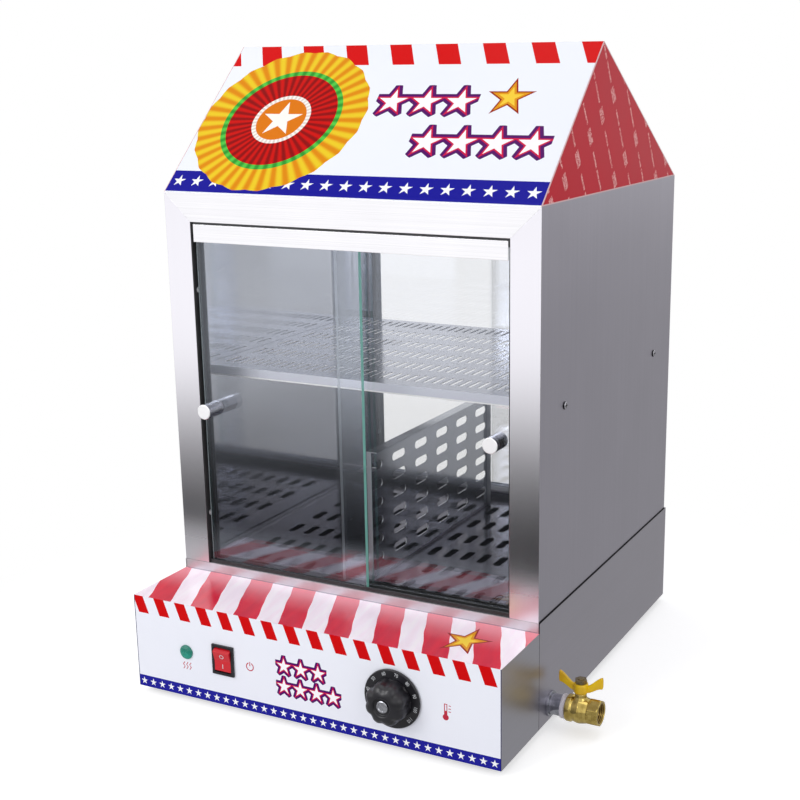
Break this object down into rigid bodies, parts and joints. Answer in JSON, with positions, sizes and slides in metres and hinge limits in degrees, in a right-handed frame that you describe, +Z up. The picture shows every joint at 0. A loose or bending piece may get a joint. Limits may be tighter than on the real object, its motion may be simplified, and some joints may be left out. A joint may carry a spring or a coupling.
{
  "type": "hot dog steamer",
  "caption": "Countertop hot dog steamer: glass-doored steel cabinet with shelf and divider over a water tank, control box in front, gabled sign hood and side drain valve.",
  "frame": {"origin": "on the floor, under the middle of the box that holds the whole part", "axes": "+X to the right of someone facing the controls, +Y from the controls to the back, +Z up"},
  "size_m": [0.4674, 0.5088, 0.649],
  "materials": {
    "housing_steel": "satin",
    "polished_steel": "bright",
    "printed_panel": "gloss",
    "rubber": "matt",
    "screws": "bright",
    "knob_steel": "satin",
    "heater_tube": "matt",
    "brass": "satin",
    "copper": "satin",
    "black_plastic": "satin",
    "red_plastic": "gloss",
    "lamp_green": "gloss",
    "cream_plastic": "satin",
    "wire": "satin",
    "track_plastic": "satin",
    "clear_plastic": "gloss",
    "tape": "matt",
    "yellow_paint": "gloss",
    "glass": "clear"
  },
  "bodies": {
    "cabinet": {"base_housing": "housing_steel", "control_box": "printed_panel", "bottom_plate": "housing_steel", "support_rails": "housing_steel", "feet": "rubber", "foot_screws": "screws", "water_tank": "polished_steel", "heating_element": "heater_tube", "heater_nuts": "brass", "thermostat_body": "black_plastic", "thermostat_bulb": "copper", "bulb_gland": "brass", "lamp_body": "black_plastic", "lamp_lens": "lamp_green", "switch_housing": "black_plastic", "terminal_block": "cream_plastic", "wiring_loom": "wire", "left_side_panel": "housing_steel", "right_side_panel": "housing_steel", "top_rails": "polished_steel", "ceiling_panel": "polished_steel", "headers": "polished_steel", "upper_tracks": "track_plastic", "lower_tracks": "track_plastic", "jamb_seals": "rubber", "door_bumpers": "clear_plastic", "roof_cover": "printed_panel", "left_gable": "printed_panel", "right_gable": "printed_panel", "upper_shelf": "polished_steel", "shelf_screws": "screws", "drain_nipple": "screws", "drain_flange": "screws", "thread_tape": "tape", "valve_body": "brass", "valve_end": "brass", "cord_gland": "rubber"},
    "front_left_door": {"front_left_glass": "glass", "front_left_knob": "knob_steel", "front_left_screw": "screws"},
    "front_right_door": {"front_right_glass": "glass", "front_right_knob": "knob_steel", "front_right_screw": "screws"},
    "rear_left_door": {"rear_left_glass": "glass", "rear_left_knob": "knob_steel", "rear_left_screw": "screws"},
    "rear_right_door": {"rear_right_glass": "glass", "rear_right_knob": "knob_steel", "rear_right_screw": "screws"},
    "power_rocker": {"switch_rocker": "red_plastic"},
    "thermostat_dial": {"thermostat_shaft": "screws", "dial_skirt": "black_plastic", "thermostat_knob": "black_plastic", "knob_cap": "screws"},
    "drain_handle": {"valve_ball": "screws", "valve_stem": "brass", "valve_handle": "yellow_paint", "handle_nut": "screws"},
    "tray": {"steam_tray": "polished_steel"},
    "divider": {"divider": "polished_steel"}
  },
  "joints": [
    {"name": "front_left_slide", "type": "slide", "parent": "cabinet", "child": "front_left_door", "axis": [1, 0, 0], "range_m": [0, 0.13]},
    {"name": "front_right_slide", "type": "slide", "parent": "cabinet", "child": "front_right_door", "axis": [1, 0, 0], "range_m": [-0.13, 0]},
    {"name": "rear_left_slide", "type": "slide", "parent": "cabinet", "child": "rear_left_door", "axis": [1, 0, 0], "range_m": [0, 0.13]},
    {"name": "rear_right_slide", "type": "slide", "parent": "cabinet", "child": "rear_right_door", "axis": [1, 0, 0], "range_m": [-0.13, 0]},
    {"name": "rocker_tilt", "type": "hinge", "parent": "cabinet", "child": "power_rocker", "pos_m": [-0.12475, -0.2274, 0.057], "axis": [1, 0, 0], "range_deg": [-16, 0]},
    {"name": "thermostat_turn", "type": "hinge", "parent": "cabinet", "child": "thermostat_dial", "pos_m": [0.06775, -0.2314, 0.057], "axis": [0, 1, 0], "range_deg": [0, 270]},
    {"name": "valve_turn", "type": "hinge", "parent": "cabinet", "child": "drain_handle", "pos_m": [0.21075, -0.1174, 0.0245], "axis": [0, 0, 1], "range_deg": [-90, 0]},
    {"name": "tray_lift", "type": "slide", "parent": "cabinet", "child": "tray", "axis": [0, 0, 1], "range_m": [0, 0.03]},
    {"name": "divider_lift", "type": "slide", "parent": "tray", "child": "divider", "axis": [0, 0, 1], "range_m": [0, 0.025]}
  ]
}
